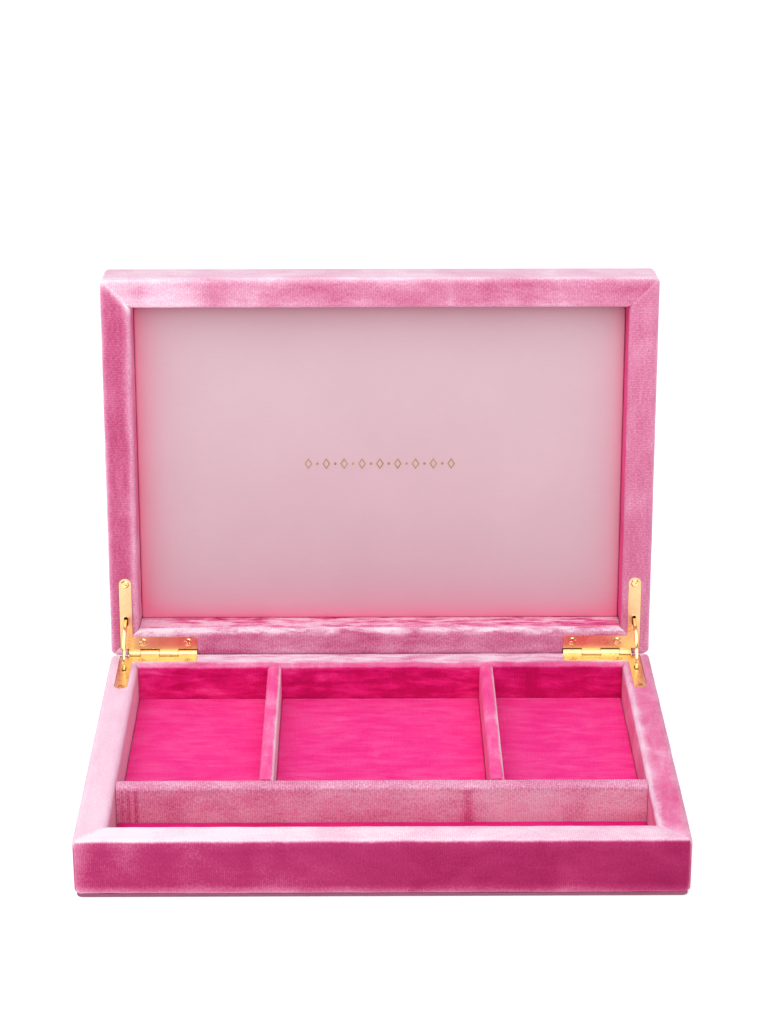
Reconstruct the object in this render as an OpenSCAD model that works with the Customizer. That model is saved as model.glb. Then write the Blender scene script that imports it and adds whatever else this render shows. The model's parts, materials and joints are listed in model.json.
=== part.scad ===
// Jewellery box: a velvet covered base with three compartments and a front tray, and a hinged lid
// with a satin lining. The lid is held by two quadrant hinges, each with a curved stay.
// The frame has its origin at the centre of the underside, +X to the right, +Y to the back.
// The lid stands open on its stops. Both halves are drawn in one hinge frame of their own:
// X along the pin, Y forward from the pin and Z up from the closing plane, so each half lies below 0.

/* [Box] */
// Outside width, left to right
box_w = 280; // [240:1:360]
// Outside depth, front to back
box_d = 200; // [160:1:280]
// Height of the base, up to its velvet rim
base_h = 29; // [26:0.5:45]
// Height of the lid, from its velvet rim to its top
lid_h = 26.5; // [24:0.5:45]
// Width of the rims of base and lid
rim_w = 15; // [14:0.5:22]
// Gap between the two rims when the lid is shut
rim_gap = 0.3; // [0.2:0.1:1]
// Rounding of the rims' outer edges
rim_r = 3; // [2.8:0.1:5]
// Rounding of the rims' inner edges
lip_r = 2.5; // [1.5:0.1:4]
// Rounding of the upright corners
corner_r = 3; // [2:0.1:6]
// Rounding of the base's lower edges
foot_r = 2; // [1.2:0.1:4]
// Rounding of the lid's top edges
crown_r = 3; // [1.5:0.1:5]

/* [Covering and boards] */
// Thickness of the glued velvet
velvet_t = 1; // [0.6:0.1:1.5]
// Width of the velvet turned under the base
turn_w = 10; // [6:0.5:12]
// Thickness of the bottom cover
cover_t = 1.6; // [1:0.1:4]
// Distance of the bottom cover's edge from the sides
cover_inset = 1; // [0.5:0.1:4]
// Thickness of the base board
board_t = 4; // [3:0.5:8]
// Thickness of the lid's top board
top_board_t = 4; // [3:0.5:6]
// Thickness of the lining board in the lid
lining_t = 3.7; // [2:0.1:5]
// Thickness of the satin on the lining board
satin_t = 0.8; // [0.4:0.1:1.5]
// Clearance between a loose panel and the walls round it
panel_fit = 0.2; // [0.1:0.05:0.5]

/* [Compartments] */
// Clear depth of the front tray
tray_d = 37.9; // [20:0.1:60]
// Clear width of the centre compartment
centre_w = 102.4; // [60:0.1:140]
// Thickness of the long divider, velvet included
long_div_t = 8.2; // [5:0.1:12]
// Thickness of the cross dividers, velvet included
cross_div_t = 6.8; // [5:0.1:12]
// Distance of the dividers' tops below the rim
div_drop = 0.8; // [0:0.1:6]
// Thickness of the card in each floor pad
card_t = 2; // [1:0.1:4]
// Thickness of the velvet on each floor pad
pad_velvet_t = 1.4; // [0.8:0.1:3]
// Thickness of the pad velvet at the card's edges
pad_edge_t = 0.6; // [0.4:0.1:1]

/* [Ornament] */
// Number of lozenges in the foil ornament
lozenge_count = 9; // [3:1:15]
// Spacing of the lozenges
lozenge_pitch = 9.2; // [8:0.1:16]
// Height of a lozenge
lozenge_h = 6; // [3:0.1:8]
// Width of the foil line
foil_w = 0.7; // [0.4:0.05:1]
// Thickness of the foil
foil_t = 0.12; // [0.05:0.01:0.3]
// Distance of the ornament from the pin line
foil_d = 97.7; // [60:0.1:130]

/* [Hinges] */
// Angle of the open lid from shut
lid_open = 95; // [90:1:100]
// Distance of the pin from the back face
pin_inset = 1.5; // [1:0.1:2]
// Distance of the side arms' middle from the side faces
arm_inset = 8.3; // [8:0.1:10]
// Reach of the side arms from the pin
arm_l = 41; // [36:0.5:60]
// Width of the side arms
arm_w = 6.5; // [6:0.1:8]
// Reach of the back arms' front edge from the pin
back_arm_d = 9.2; // [8:0.1:11]
// Length of the back arms, from the side arm's outer edge
back_arm_l = 39.8; // [34:0.1:60]
// Thickness of the leaves
leaf_t = 1.4; // [1:0.1:2]
// Distance of the leaves below the closing plane
leaf_drop = 0.35; // [0.25:0.05:0.8]
// Clearance round a leaf in its pocket
leaf_fit = 0.15; // [0.1:0.05:0.4]
// Outer radius of the knuckles
barrel_r = 2; // [1.8:0.1:2.4]
// Clearance round the knuckles
barrel_fit = 0.5; // [0.4:0.05:0.8]
// Length of the knuckle nearest the middle of the box, and of the next two
knuckle_l = 9.8; // [8:0.1:11]
// Gap between two knuckles
knuckle_gap = 0.15; // [0.1:0.05:0.4]
// Distance between the barrel and the side arm's middle
barrel_end = 1.1; // [1:0.1:3]
// Radius of the hinge pins
pin_r = 1; // [0.8:0.05:1.2]
// Running clearance of the pins in the lid's knuckles
pin_fit = 0.05; // [0.02:0.01:0.1]

/* [Stays] */
// Radius of the stays' middle line about the pin
stay_r = 17.5; // [16:0.1:21]
// Width of the stay band
stay_w = 3.5; // [2.5:0.1:4]
// Thickness of the stay band
stay_t = 1.5; // [1:0.1:1.8]
// Clearance of the stay at each side of a slot
stay_fit = 0.3; // [0.2:0.05:0.5]
// Radius of the stop pips at the stays' ends
pip_r = 1.5; // [1.2:0.1:1.7]
// Distance that a pip stands out of each side of its stay
pip_out = 1; // [0.7:0.1:1.2]
// Clearance between a pip and its leaf at the stop
pip_gap = 0.1; // [0.05:0.05:0.3]
// Clearance of the stay in the wood
mortise_fit = 0.6; // [0.4:0.1:1]

/* [Screws] */
// Radius of the screw heads
head_r = 2; // [1.6:0.1:2.3]
// Depth of the countersinks
sink_h = 1; // [0.6:0.1:1.2]
// Height of the domed heads over the leaf
dome_h = 0.18; // [0.1:0.02:0.24]
// Radius of the screw shanks
shank_r = 0.9; // [0.7:0.05:1.1]
// Length of the screws under the leaf
shank_l = 8; // [5:0.5:11]
// Clearance of a shank in the leaf and in the wood
shank_fit = 0.05; // [0.02:0.01:0.1]
// Distance of the end screws from the side arms' ends
end_screw = 3.2; // [3:0.1:5]
// Distance of the back arms' screws from the pin
back_screw_d = 6.2; // [5:0.1:7]
// Distances of the back arms' screws from the side arm's middle
back_screw_x = [8.4, 31.8]; // [7:0.1:36]
// Width of the cross recess
cross_w = 0.5; // [0.3:0.05:0.8]
// Length of the cross recess
cross_l = 2.2; // [1.5:0.1:3]

/* [Hidden] */
$fn = 48;
over = 1;                         // how far a cutter runs past a face
lap = 0.01;                       // the same, where a cutter meets a thin wall

pin_y = box_d / 2 - pin_inset;
pin_z = base_h + rim_gap / 2;
front_d = box_d - pin_inset;      // front face, from the pin
mid_d = box_d / 2 - pin_inset;    // middle of the box, from the pin
inner_x = box_w / 2 - rim_w;      // inner wall of both halves
back_wall = rim_w - pin_inset;    // inner faces of the back and front rims, from the pin
front_wall = front_d - rim_w;

rim_top = -rim_gap / 2;
under = -pin_z;                   // underside of the base, in the hinge frame
cover_top = under + cover_t;
rail_low = cover_top + velvet_t;
floor_low = rail_low + board_t;
floor_top = floor_low + card_t + pad_velvet_t;
div_top = rim_top - div_drop;
lid_low = rim_top - lid_h;        // top face of the lid, in the hinge frame
top_board_low = lid_low + velvet_t;
lid_seam = lid_low + crown_r;     // lower edge of the top velvet on the lid's sides
lining_low = top_board_low + top_board_t;
satin_top = lining_low + lining_t + satin_t;

div_front = front_wall - tray_d;              // long divider's front and back faces
div_back = div_front - long_div_t;
cross_x = centre_w / 2 + cross_div_t / 2;     // middle of a cross divider
div_wall = velvet_t;                          // velvet on a divider
div_r = 2;                                    // rounding of the dividers' tops

arm_x = box_w / 2 - arm_inset;
barrel_x1 = arm_x - barrel_end;
barrel_x0 = arm_x + arm_w / 2 - back_arm_l;
leaf_d = barrel_r + barrel_fit;               // plate's edge beside the other leaf's knuckles
leaf_low = -leaf_drop - leaf_t;
arm_corner_r = 1.5;                           // corner at the end of a back arm
web_lap = 0.5;                                // how far a knuckle's web runs into its leaf
knuckle_ends = [for (k = [0:3]) barrel_x0 + k * knuckle_l, barrel_x1];

slot_half_w = stay_t / 2 + stay_fit;
slot_play = 0.9;                              // slot left at each edge of the stay
slot_d0 = stay_r - stay_w / 2 - slot_play;
slot_d1 = stay_r + stay_w / 2 + slot_play;
pip_angle = asin((-leaf_low + pip_gap + pip_r) / stay_r);
eye_lip = 0.2;                                // how far an eye stands out of the stay's edges
eye_r = stay_w / 2 + eye_lip;                 // round end of the stay
swing = lid_open / 2;                         // turn of a stay while the lid shuts
mortise_h = stay_r * sin(swing + pip_angle) + eye_r + mortise_fit;
mortise_d0 = stay_r * cos(swing + pip_angle) - eye_r - mortise_fit;
mortise_half_w = stay_t / 2 + pip_out + mortise_fit;

tip_l = 1.2;                                  // point of a screw
tip_r = 0.2;
dome_edge = 0.5;                              // sloping edge of a screw's dome
cross_h = 0.5;                                // depth of the cross recess below the leaf's face
cross_turn = 20;

screw_places = [
    [arm_x, arm_l - end_screw],
    for (x = back_screw_x) [arm_x - x, back_screw_d]
];

velvet_color = [0.86, 0.42, 0.60];
floor_color = [0.90, 0.12, 0.48];
wood_color = [0.78, 0.65, 0.48];
card_color = [0.82, 0.78, 0.72];
satin_color = [0.87, 0.70, 0.76];
cover_color = [0.55, 0.32, 0.42];
gold_color = [0.90, 0.70, 0.30];

// ---- frames -------------------------------------------------------------------------------

// From a half's hinge frame to the base
module base_half() translate([0, pin_y, pin_z]) mirror([0, 1, 0]) children();

// From a half's hinge frame to the lid, which is turned back about the pin
module lid_half()
    translate([0, pin_y, pin_z]) rotate([-lid_open, 0, 0]) mirror([0, 1, 0]) mirror([0, 0, 1]) children();

// The left hinge is the right one mirrored
module hand(side) mirror([side < 0 ? 1 : 0, 0, 0]) children();

// From a bar's own frame, outer face on Y = 0 and length along X, to one side of a half
module on_side(side) {
    if (side == "back") translate([0, -pin_inset, 0]) children();
    if (side == "front") translate([0, front_d, 0]) rotate(180) children();
    if (side == "right") translate([box_w / 2, mid_d, 0]) rotate(90) children();
    if (side == "left") translate([-box_w / 2, mid_d, 0]) rotate(-90) children();
}

function side_l(side) = side == "front" || side == "back" ? box_w : box_d;

// ---- rims ---------------------------------------------------------------------------------

// What a rounding of radius r takes off a corner at the origin
module corner_cut(r)
    difference() {
        translate([-over, -over]) square(r + over);
        translate([r, r]) circle(r);
    }

// Section of a rim, at a depth below its covering, down to low
module rim_section(inset, low, low_r) {
    high = rim_top - inset;
    difference() {
        translate([inset, low]) square([rim_w - 2 * inset, high - low]);
        translate([inset, high]) mirror([0, 1]) corner_cut(rim_r - inset);
        translate([rim_w - inset, high]) rotate(180) corner_cut(lip_r - inset);
        translate([inset, low]) corner_cut(low_r);
    }
}

module bar(len, inset, low, low_r)
    rotate([90, 0, 90]) linear_extrude(len, center = true) rim_section(inset, low, low_r);

// Mitred ends of the bar on a side
module mitre(len, low)
    translate([0, 0, low - over])
        linear_extrude(2 * over - low)
            polygon([[-len / 2, 0], [len / 2, 0], [len / 2 - rim_w, rim_w], [rim_w - len / 2, rim_w]]);

// Outline of a half, at a distance from its outside
module footprint(inset, r) {
    w = box_w - 2 * inset;
    d = box_d - 2 * inset;
    translate([0, mid_d]) {
        square([w - 2 * r, d], center = true);
        square([w, d - 2 * r], center = true);
        for (x = [-1, 1], y = [-1, 1]) translate([x * (w / 2 - r), y * (d / 2 - r)]) circle(r);
    }
}

module prism(low, high) translate([0, 0, low]) linear_extrude(high - low) children();

// Block between two heights, with its four lower edges rounded
module slab(inset, low, high, r)
    intersection() {
        prism(low, high) footprint(inset, corner_r - inset);
        for (turned = [0, 1])
            translate([0, mid_d, 0]) rotate(turned * 90) {
                w = (turned == 1 ? box_d : box_w) - 2 * inset;
                len = (turned == 1 ? box_w : box_d) + 2 * over;
                rotate([90, 0, 0]) linear_extrude(len, center = true)
                    difference() {
                        translate([-w / 2, low]) square([w, high - low]);
                        for (s = [0, 1])
                            mirror([s, 0]) translate([-w / 2, low]) corner_cut(r);
                    }
            }
    }

// A wooden rail, mitred, with the seats of the hinges
module rail(side, low, low_r)
    color(wood_color)
        difference() {
            intersection() {
                on_side(side) intersection() {
                    bar(side_l(side), velvet_t, low, low_r);
                    mitre(side_l(side), low);
                }
                prism(low, 0) footprint(velvet_t, corner_r - velvet_t);
            }
            at_hinges(side) {
                hinge_pocket();
                hinge_holes();
            }
        }

// Velvet over the outer face, the rim and the inner face of one side of the base
module base_wrap(side)
    color(velvet_color)
        difference() {
            wrap_shape(side, cover_top, foot_r);
            on_side(side) {
                bar(side_l(side) + 2 * over, velvet_t, rail_low, foot_r - velvet_t);
                translate([-box_w, turn_w, under]) cube([2 * box_w, box_d, rail_low - under]);
                translate([-box_w, rim_w - velvet_t, under]) cube([2 * box_w, box_d, floor_low - under]);
            }
            at_hinges(side) hinge_pocket();
        }

// The same on the lid, down to the seam with the top velvet
module lid_wrap(side)
    color(velvet_color)
        difference() {
            wrap_shape(side, lid_seam, 0);
            on_side(side) {
                bar(side_l(side) + 2 * over, velvet_t, lid_seam - over, 0);
                translate([-box_w, rim_w - 2 * velvet_t, lid_seam - over])
                    cube([2 * box_w, box_d, lining_low - lid_seam + over]);
            }
            at_hinges(side) hinge_pocket();
        }

module wrap_shape(side, low, low_r)
    intersection() {
        on_side(side) intersection() {
            bar(side_l(side), 0, low, low_r);
            mitre(side_l(side), low);
        }
        prism(low - over, over) footprint(0, corner_r);
    }

// ---- hinges -------------------------------------------------------------------------------

// Flat outline of a leaf without its knuckles
module leaf_outline(grow) {
    side_x = arm_x - arm_w / 2;
    translate([side_x - grow, leaf_d - grow])
        square([arm_w + 2 * grow, arm_l - arm_w / 2 - leaf_d + grow]);
    translate([arm_x, arm_l - arm_w / 2]) circle(arm_w / 2 + grow);
    difference() {
        translate([barrel_x0 - grow, leaf_d - grow])
            square([back_arm_l + 2 * grow, back_arm_d - leaf_d + 2 * grow]);
        translate([barrel_x0 - grow, back_arm_d + grow]) mirror([0, 1]) corner_cut(arm_corner_r + grow);
    }
}

// Slot of the stay, in a leaf
module slot_outline() {
    r = slot_half_w;
    translate([arm_x - r, slot_d0 + r]) square([2 * r, slot_d1 - slot_d0 - 2 * r]);
    for (d = [slot_d0 + r, slot_d1 - r]) translate([arm_x, d]) circle(r);
}

// Pocket of one right hand leaf and its barrel, cut through the velvet into the wood
module hinge_pocket() {
    prism(leaf_low, over) leaf_outline(leaf_fit);
    translate([barrel_x0 - barrel_fit, -pin_inset - over, -leaf_d])
        cube([barrel_x1 - barrel_x0 + 2 * barrel_fit, pin_inset + over + leaf_d, leaf_d + over]);
}

// Mortise of the stay and pilot holes of the screws, deeper in the wood
module hinge_holes() {
    translate([arm_x - mortise_half_w, mortise_d0, -mortise_h])
        cube([2 * mortise_half_w, slot_d1 - mortise_d0, mortise_h]);
    for (p = screw_places)
        translate([p[0], p[1], leaf_low - shank_l - shank_fit])
            cylinder(r = shank_r + shank_fit, h = shank_l + over);
}

// Cuts for the hinges that reach one side of a half
module at_hinges(side) {
    if (side == "back" || side == "right") hand(1) children();
    if (side == "back" || side == "left") hand(-1) children();
}

// Knuckles from the middle of the box outwards: the base has the first and third, the lid the others
module knuckle(k) {
    x0 = knuckle_ends[k] + (k == 0 ? 0 : knuckle_gap / 2);
    x1 = knuckle_ends[k + 1] - (k == 3 ? 0 : knuckle_gap / 2);
    translate([x0, 0, 0]) {
        rotate([0, 90, 0]) cylinder(r = barrel_r, h = x1 - x0);
        translate([0, 0, leaf_low]) cube([x1 - x0, leaf_d + web_lap, leaf_t]);
    }
}

module leaf(first_knuckle, bore_r)
    color(gold_color)
        difference() {
            union() {
                prism(leaf_low, -leaf_drop) leaf_outline(0);
                for (k = [first_knuckle, first_knuckle + 2]) knuckle(k);
            }
            prism(leaf_low - over, over) slot_outline();
            translate([barrel_x0 - over, 0, 0])
                rotate([0, 90, 0]) cylinder(r = bore_r, h = barrel_x1 - barrel_x0 + 2 * over);
            for (p = screw_places)
                translate([p[0], p[1], 0]) {
                    translate([0, 0, leaf_low - over]) cylinder(r = shank_r + shank_fit, h = leaf_t + 2 * over);
                    translate([0, 0, -leaf_drop - sink_h])
                        cylinder(r1 = shank_r + shank_fit, r2 = head_r + shank_fit, h = sink_h);
                }
        }

module hinge_pin()
    color(gold_color)
        translate([barrel_x0, 0, 0]) rotate([0, 90, 0]) cylinder(r = pin_r, h = barrel_x1 - barrel_x0);

// Countersunk screw with a low domed head and a cross recess, its head at Z = 0
module screw() {
    tip_z = -leaf_t - shank_l;
    difference() {
        union() {
            rotate_extrude()
                polygon([[0, tip_z + tip_l], [shank_r, tip_z + tip_l], [shank_r, -sink_h],
                         [head_r, 0], [head_r - dome_edge, dome_h], [0, dome_h]]);
            translate([0, 0, tip_z]) cylinder(r1 = tip_r, r2 = shank_r, h = tip_l);
        }
        for (a = [0, 90])
            rotate(a + cross_turn)
                translate([-cross_l / 2, -cross_w / 2, -cross_h]) cube([cross_l, cross_w, cross_h + over]);
    }
}

module hinge_screws()
    color(gold_color)
        for (side = [-1, 1], p = screw_places)
            hand(side) translate([p[0], p[1], -leaf_drop]) screw();

// Quarter ring about the pin with a stop pip at each end, passing through the slots of both leaves
module stay(side)
    color(gold_color)
        hand(side) translate([arm_x, pin_y, pin_z]) mirror([0, 1, 0]) {
            rotate([90, 0, 90]) {
                rotate(-pip_angle)
                    translate([0, 0, -stay_t / 2])
                        rotate_extrude(angle = lid_open + 2 * pip_angle, $fn = 96)
                            translate([stay_r - stay_w / 2, 0]) square([stay_w, stay_t]);
                for (a = [-pip_angle, lid_open + pip_angle])
                    rotate(a) translate([stay_r, 0, 0]) {
                        cylinder(r = eye_r, h = stay_t, center = true);
                        cylinder(r = pip_r, h = stay_t + 2 * pip_out, center = true);
                    }
            }
        }

// ---- inside of the base -------------------------------------------------------------------

// Upright panel with a rounded top, its length along X from the origin and its thickness about Y = 0
module panel(len, t, low, high, r)
    rotate([90, 0, 90]) linear_extrude(len)
        difference() {
            translate([-t / 2, low]) square([t, high - low]);
            for (s = [0, 1])
                mirror([s, 0]) translate([-t / 2, high]) mirror([0, 1]) corner_cut(r);
        }

module divider_core(len, t)
    color(wood_color) panel(len, t - 2 * div_wall, floor_low, div_top - div_wall, div_r - div_wall);

module divider_velvet(len, t)
    color(velvet_color)
        difference() {
            panel(len, t, floor_low, div_top, div_r);
            translate([-over, 0, 0])
                panel(len + 2 * over, t - 2 * div_wall, floor_low - over, div_top - div_wall, div_r - div_wall);
        }

// The long divider spans the base, and the cross dividers run from it to the back wall
module on_long() translate([panel_fit - inner_x, (div_front + div_back) / 2, 0]) children();
long_l = 2 * (inner_x - panel_fit);

module on_cross(side) translate([side * cross_x, back_wall + panel_fit, 0]) rotate(90) children();
cross_l_y = div_back - back_wall - 2 * panel_fit;

// Floor pads fill a compartment from x0 to x1 and from d0 to d1
module pad_block(x0, x1, d0, d1, inset, high)
    translate([x0 + panel_fit + inset, d0 + panel_fit + inset, floor_low])
        cube([x1 - x0 - 2 * (panel_fit + inset), d1 - d0 - 2 * (panel_fit + inset), high]);

module pad_card(x0, x1, d0, d1) color(card_color) pad_block(x0, x1, d0, d1, pad_edge_t, card_t);

module pad_velvet(x0, x1, d0, d1)
    color(floor_color)
        difference() {
            pad_block(x0, x1, d0, d1, 0, card_t + pad_velvet_t);
            translate([0, 0, -lap]) pad_block(x0, x1, d0, d1, pad_edge_t, card_t + lap);
        }

cross_in = centre_w / 2;
cross_out = cross_in + cross_div_t;

// ---- pieces of the base -------------------------------------------------------------------

module bottom_cover()
    color(cover_color) base_half() prism(under, cover_top) footprint(cover_inset, corner_r);

module base_board()
    color(wood_color) base_half()
        translate([-inner_x - velvet_t, back_wall - velvet_t, rail_low])
            cube([2 * (inner_x + velvet_t), front_wall - back_wall + 2 * velvet_t, board_t]);

module base_front_rail() base_half() rail("front", rail_low, foot_r - velvet_t);
module base_back_rail() base_half() rail("back", rail_low, foot_r - velvet_t);
module base_left_rail() base_half() rail("left", rail_low, foot_r - velvet_t);
module base_right_rail() base_half() rail("right", rail_low, foot_r - velvet_t);

module base_front_velvet() base_half() base_wrap("front");
module base_back_velvet() base_half() base_wrap("back");
module base_left_velvet() base_half() base_wrap("left");
module base_right_velvet() base_half() base_wrap("right");

module long_divider_core() base_half() on_long() divider_core(long_l, long_div_t);
module left_divider_core() base_half() on_cross(-1) divider_core(cross_l_y, cross_div_t);
module right_divider_core() base_half() on_cross(1) divider_core(cross_l_y, cross_div_t);

module long_divider_velvet() base_half() on_long() divider_velvet(long_l, long_div_t);
module left_divider_velvet() base_half() on_cross(-1) divider_velvet(cross_l_y, cross_div_t);
module right_divider_velvet() base_half() on_cross(1) divider_velvet(cross_l_y, cross_div_t);

module front_tray_card() base_half() pad_card(-inner_x, inner_x, div_front, front_wall);
module left_floor_card() base_half() pad_card(-inner_x, -cross_out, back_wall, div_back);
module centre_floor_card() base_half() pad_card(-cross_in, cross_in, back_wall, div_back);
module right_floor_card() base_half() pad_card(cross_out, inner_x, back_wall, div_back);

module front_tray_velvet() base_half() pad_velvet(-inner_x, inner_x, div_front, front_wall);
module left_floor_velvet() base_half() pad_velvet(-inner_x, -cross_out, back_wall, div_back);
module centre_floor_velvet() base_half() pad_velvet(-cross_in, cross_in, back_wall, div_back);
module right_floor_velvet() base_half() pad_velvet(cross_out, inner_x, back_wall, div_back);

module left_base_leaf() base_half() hand(-1) leaf(0, pin_r);
module right_base_leaf() base_half() hand(1) leaf(0, pin_r);
module left_hinge_pin() base_half() hand(-1) hinge_pin();
module right_hinge_pin() base_half() hand(1) hinge_pin();
module base_hinge_screws() base_half() hinge_screws();

// ---- pieces of the lid --------------------------------------------------------------------

module lid_top_board()
    color(wood_color) lid_half() slab(velvet_t, top_board_low, lining_low, crown_r - velvet_t);

module lid_front_rail() lid_half() rail("front", lining_low, 0);
module lid_back_rail() lid_half() rail("back", lining_low, 0);
module lid_left_rail() lid_half() rail("left", lining_low, 0);
module lid_right_rail() lid_half() rail("right", lining_low, 0);

module lid_front_velvet() lid_half() lid_wrap("front");
module lid_back_velvet() lid_half() lid_wrap("back");
module lid_left_velvet() lid_half() lid_wrap("left");
module lid_right_velvet() lid_half() lid_wrap("right");

module lid_top_velvet()
    color(velvet_color) lid_half()
        difference() {
            slab(0, lid_low, lid_seam, crown_r);
            slab(velvet_t, top_board_low, lid_seam + over, crown_r - velvet_t);
        }

module lining_block(inset, high)
    translate([panel_fit + inset - inner_x, back_wall + panel_fit + inset, lining_low])
        cube([2 * (inner_x - panel_fit - inset), front_wall - back_wall - 2 * (panel_fit + inset), high]);

module lid_lining_board() color(card_color) lid_half() lining_block(satin_t, lining_t);

module lid_lining_satin()
    color(satin_color) lid_half()
        difference() {
            lining_block(0, lining_t + satin_t);
            translate([0, 0, -lap]) lining_block(satin_t, lining_t + lap);
        }

// A row of open lozenges with a dot between each pair
module lid_foil_ornament()
    color(gold_color) lid_half()
        translate([0, foil_d, satin_top]) linear_extrude(foil_t) {
            half_h = lozenge_h / 2;
            half_w = lozenge_h / 3;
            for (i = [0:lozenge_count - 1])
                translate([(i - (lozenge_count - 1) / 2) * lozenge_pitch, 0]) {
                    difference() {
                        polygon([[half_w, 0], [0, half_h], [-half_w, 0], [0, -half_h]]);
                        polygon([[half_w - foil_w, 0], [0, half_h - 1.5 * foil_w],
                                 [foil_w - half_w, 0], [0, 1.5 * foil_w - half_h]]);
                    }
                    if (i < lozenge_count - 1) translate([lozenge_pitch / 2, 0]) circle(foil_w);
                }
        }

module left_lid_leaf() lid_half() hand(-1) leaf(1, pin_r + pin_fit);
module right_lid_leaf() lid_half() hand(1) leaf(1, pin_r + pin_fit);
module lid_hinge_screws() lid_half() hinge_screws();

// ---- stays --------------------------------------------------------------------------------

module left_stay() stay(-1);
module right_stay() stay(1);

bottom_cover();
base_board();
base_front_rail();
base_back_rail();
base_left_rail();
base_right_rail();
base_front_velvet();
base_back_velvet();
base_left_velvet();
base_right_velvet();
long_divider_core();
left_divider_core();
right_divider_core();
long_divider_velvet();
left_divider_velvet();
right_divider_velvet();
front_tray_card();
left_floor_card();
centre_floor_card();
right_floor_card();
front_tray_velvet();
left_floor_velvet();
centre_floor_velvet();
right_floor_velvet();
left_base_leaf();
right_base_leaf();
left_hinge_pin();
right_hinge_pin();
base_hinge_screws();
lid_top_board();
lid_front_rail();
lid_back_rail();
lid_left_rail();
lid_right_rail();
lid_front_velvet();
lid_back_velvet();
lid_left_velvet();
lid_right_velvet();
lid_top_velvet();
lid_lining_board();
lid_lining_satin();
lid_foil_ornament();
left_lid_leaf();
right_lid_leaf();
lid_hinge_screws();
left_stay();
right_stay();
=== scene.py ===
import bmesh
import bpy
import json
import math
from mathutils import Matrix, Vector, noise


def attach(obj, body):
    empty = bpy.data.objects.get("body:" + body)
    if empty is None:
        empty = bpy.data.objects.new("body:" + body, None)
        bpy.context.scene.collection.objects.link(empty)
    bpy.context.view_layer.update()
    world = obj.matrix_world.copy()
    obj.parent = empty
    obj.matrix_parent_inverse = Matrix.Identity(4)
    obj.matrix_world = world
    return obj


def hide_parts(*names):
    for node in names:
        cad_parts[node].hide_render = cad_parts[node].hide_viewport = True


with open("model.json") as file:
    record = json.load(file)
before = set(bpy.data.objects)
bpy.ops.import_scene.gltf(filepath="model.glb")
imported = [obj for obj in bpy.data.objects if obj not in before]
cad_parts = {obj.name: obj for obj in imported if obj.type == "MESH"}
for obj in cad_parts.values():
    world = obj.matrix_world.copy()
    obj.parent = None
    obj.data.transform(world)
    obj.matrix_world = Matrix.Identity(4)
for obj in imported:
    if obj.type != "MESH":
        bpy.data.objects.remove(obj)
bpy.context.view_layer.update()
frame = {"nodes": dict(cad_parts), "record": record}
print("frame loaded,", len(frame["nodes"]), "nodes")

# Every piece is drawn in millimetres in the hinge frame of its half: X along the pin,
# Y forward from the pin and Z up from the closing plane. placeOf turns that into metres.
joints = {joint["name"]: joint for joint in frame["record"]["behaviour"]["joints"]}
pin = Vector(joints["lid_hinge"]["pos_m"])
openAngle = math.radians(joints["lid_hinge"]["range_deg"][1])
millimetre = Matrix.Scale(0.001, 4)
turnedOpen = Matrix.Rotation(-openAngle, 4, "X")
placeOf = {
    "base": Matrix.Translation(pin) @ Matrix.Diagonal((1, -1, 1, 1)) @ millimetre,
    "lid": Matrix.Translation(pin) @ turnedOpen @ Matrix.Diagonal((1, -1, -1, 1)) @ millimetre,
}


def boxIn(half, node):
    # lowest and highest corner of a CAD node, in the hinge frame of its half
    into = placeOf[half].inverted()
    points = [into @ vert.co for vert in frame["nodes"][node].data.vertices]
    low = Vector([min(point[i] for point in points) for i in range(3)])
    high = Vector([max(point[i] for point in points) for i in range(3)])
    return low, high


frontHigh = boxIn("base", "base_front_velvet")[1]
backLow, backHigh = boxIn("base", "base_back_velvet")
leftLow = boxIn("base", "base_left_velvet")[0]
rightHigh = boxIn("base", "base_right_velvet")[1]
case = {
    "width": rightHigh.x - leftLow.x,       # the front and back bars stop short of it, at their mitres
    "depth": frontHigh.y - backLow.y,
    "rimWidth": backHigh.y - backLow.y,
    "rimRound": 2.6,
    "backRound": 3.0,       # the back edges pass close to each other at the hinge
    "lipRound": 2.2,
    "footRound": 2.0,
    "cornerRound": 3.0,
    "turnUnder": 9.5,       # velvet turned under the base
    "hem": 2.6,             # height of the lowest strip of the outer face
    "cloth": 0.9,           # thickness
    "still": 6.0,           # the lid's bars ripple only this far from its top
    "mesh": 1.3,
}
overhang = -backLow.y       # how far the back face stands behind the pin
midDepth = case["depth"] / 2 - overhang


# Materials

def addNode(tree, kind, inputs=None, **settings):
    made = tree.nodes.new(kind)
    for key, value in settings.items():
        setattr(made, key, value)
    for key, value in (inputs or {}).items():
        if isinstance(value, bpy.types.NodeSocket):
            tree.links.new(value, made.inputs[key])
        else:
            made.inputs[key].default_value = value
    return made


def calc(tree, operation, first, second=0.0, third=0.0):
    made = addNode(tree, "ShaderNodeMath", {0: first, 1: second, 2: third}, operation=operation)
    return made.outputs[0]


def mixColours(tree, amount, first, second):
    # the colour sockets of a Mix node go by number
    made = addNode(tree, "ShaderNodeMix", {0: amount, 6: first, 7: second}, data_type="RGBA")
    return made.outputs[2]


def clothMap(tree, name):
    return addNode(tree, "ShaderNodeUVMap", uv_map=name).outputs[0]


def clothMarks(tree, name):
    # the two numbers that one of the cloth's maps holds
    return addNode(tree, "ShaderNodeSeparateXYZ", {0: clothMap(tree, name)}).outputs


def rampOf(tree, value, stops):
    made = addNode(tree, "ShaderNodeValToRGB", {"Fac": value})
    elements = made.color_ramp.elements
    while len(elements) < len(stops):
        elements.new(0.5)
    for element, (position, colour) in zip(elements, stops):
        element.position = position
        element.color = (*colour, 1)
    return made.outputs["Color"]


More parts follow.
